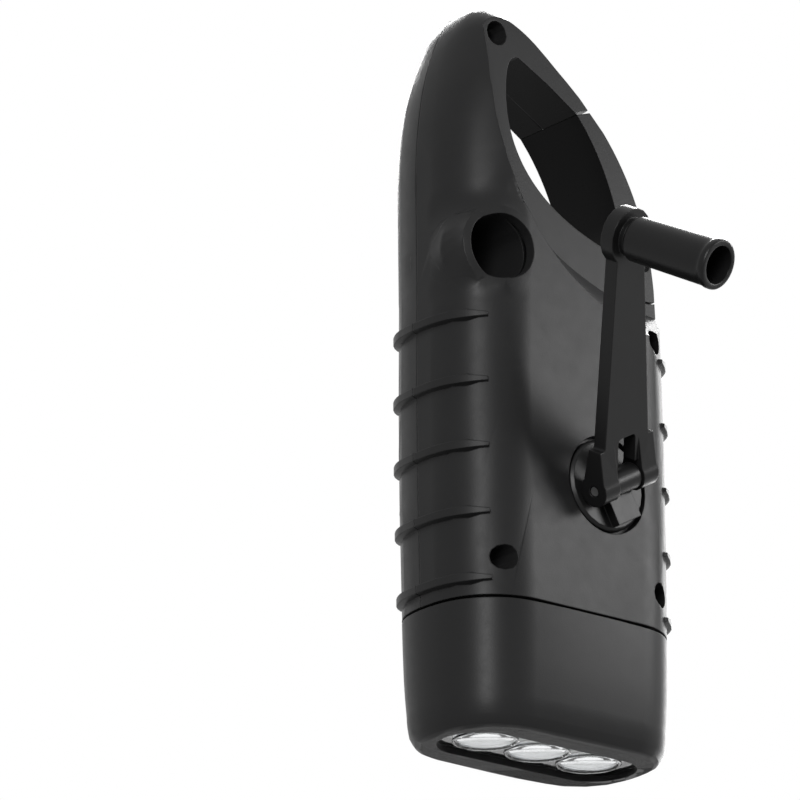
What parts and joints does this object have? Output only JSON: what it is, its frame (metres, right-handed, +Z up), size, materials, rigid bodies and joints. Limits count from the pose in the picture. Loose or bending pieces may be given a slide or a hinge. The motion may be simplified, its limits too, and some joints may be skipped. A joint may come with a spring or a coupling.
{
  "type": "hand crank flashlight",
  "caption": "Hand crank flashlight with a solar window, folding crank arm and knob, spring-gated carabiner top and a lens head with domed clear lenses.",
  "frame": {"origin": "middle of the bounding box at its lowest face, the lens rim on which the flashlight stands, crank at its pictured angle", "axes": "+Z up from the lens rim to the top of the hook, +Y out of the crank side, -Y out of the solar side, +X towards the closed spine of the hook, -X towards its gate"},
  "size_m": [0.0502, 0.0741, 0.13],
  "materials": {
    "case_plastic": "satin black moulded plastic, fine even grain",
    "crank_plastic": "satin black moulded plastic, slightly glossier than the case",
    "lens_clear": "clear polished plastic",
    "window_smoked": "brown-tinted clear plastic",
    "solar_silicon": "dark brown thin-film cell under glass",
    "reflector_plated": "bright vacuum-plated cups",
    "led_resin": "clear resin, unlit",
    "board": "green solder mask",
    "steel": "bright steel",
    "spring_steel": "drawn spring wire",
    "gear_plastic": "natural acetal",
    "frame_nylon": "pale nylon",
    "brass": "plain machined brass",
    "magnet": "dull grey bonded ferrite",
    "copper": "enamelled copper winding",
    "cell_wrap": "shrink-wrapped button-cell stack",
    "switch_plastic": "black switch housing",
    "button_rubber": "soft-touch black cap"
  },
  "bodies": {
    "body": {"front_shell": "case_plastic", "back_shell": "case_plastic", "head_cap": "case_plastic", "solar_bezel": "case_plastic", "lens": "lens_clear", "solar_window": "window_smoked", "solar_cell": "solar_silicon", "reflector_1": "reflector_plated", "reflector_2": "reflector_plated", "reflector_3": "reflector_plated", "led_1": "led_resin", "led_2": "led_resin", "led_3": "led_resin", "led_board": "board", "main_board": "board", "gate_pin": "steel", "axle_a": "steel", "axle_b": "steel", "stator_can": "steel", "frame_screw_1": "steel", "frame_screw_2": "steel", "frame_screw_3": "steel", "case_screw_low_spine": "steel", "case_screw_low_gate": "steel", "case_screw_mid": "steel", "case_screw_top": "steel", "gate_spring": "spring_steel", "gear_frame": "frame_nylon", "crank_bush": "brass", "stator_coil": "copper", "rechargeable_cell": "cell_wrap", "switch_body": "switch_plastic"},
    "crank": {"crank_hub": "crank_plastic", "hinge_pin": "steel", "crank_shaft": "steel", "crank_gear": "gear_plastic"},
    "arm": {"crank_arm": "crank_plastic", "knob_pin": "steel"},
    "knob": {"crank_knob": "crank_plastic"},
    "gear_a": {"gear_a": "gear_plastic"},
    "gear_b": {"gear_b": "gear_plastic"},
    "rotor": {"rotor_magnet": "magnet", "rotor_shaft": "steel", "rotor_pinion": "brass"},
    "gate": {"gate": "case_plastic"},
    "button": {"power_button": "button_rubber", "switch_plunger": "switch_plastic"}
  },
  "joints": [
    {"name": "crank_spin", "type": "hinge", "parent": "body", "child": "crank", "pos_m": [-0.00452, -0.00784, 0.0449], "axis": [0, 1, 0], "continuous": true},
    {"name": "crank_fold", "type": "hinge", "parent": "crank", "child": "arm", "pos_m": [-0.00452, -0.00474, 0.0449], "axis": [-0.8746, 0, 0.4848], "range_deg": [-31.3, 118.7]},
    {"name": "knob_spin", "type": "hinge", "parent": "arm", "child": "knob", "pos_m": [0.01358, 0.01797, 0.07756], "axis": [-0.2519, 0.8545, -0.4544], "continuous": true},
    {"name": "gear_a_spin", "type": "hinge", "parent": "body", "child": "gear_a", "pos_m": [0.0073, -0.01494, 0.05413], "axis": [0, 1, 0], "continuous": true},
    {"name": "gear_b_spin", "type": "hinge", "parent": "body", "child": "gear_b", "pos_m": [-0.00046, -0.01794, 0.06406], "axis": [0, 1, 0], "continuous": true},
    {"name": "rotor_spin", "type": "hinge", "parent": "body", "child": "rotor", "pos_m": [-0.00415, -0.02194, 0.05391], "axis": [0, 1, 0], "continuous": true},
    {"name": "gate_swing", "type": "hinge", "parent": "body", "child": "gate", "pos_m": [-0.02003, -0.02194, 0.08949], "axis": [0, 1, 0], "range_deg": [0, 25], "stiffness_Nm_per_rad": 0.02, "springref_deg": -17.19},
    {"name": "button_press", "type": "slide", "parent": "body", "child": "button", "axis": [1, 0, 0], "range_m": [0, 0.0006], "stiffness_N_per_m": 800, "springref_m": -0.0005}
  ],
  "couplings": [
    {"joint": "gear_a_spin", "follows": "crank_spin", "ratio": -4},
    {"joint": "gear_b_spin", "follows": "crank_spin", "ratio": 12.8},
    {"joint": "rotor_spin", "follows": "crank_spin", "ratio": -33.28}
  ]
}
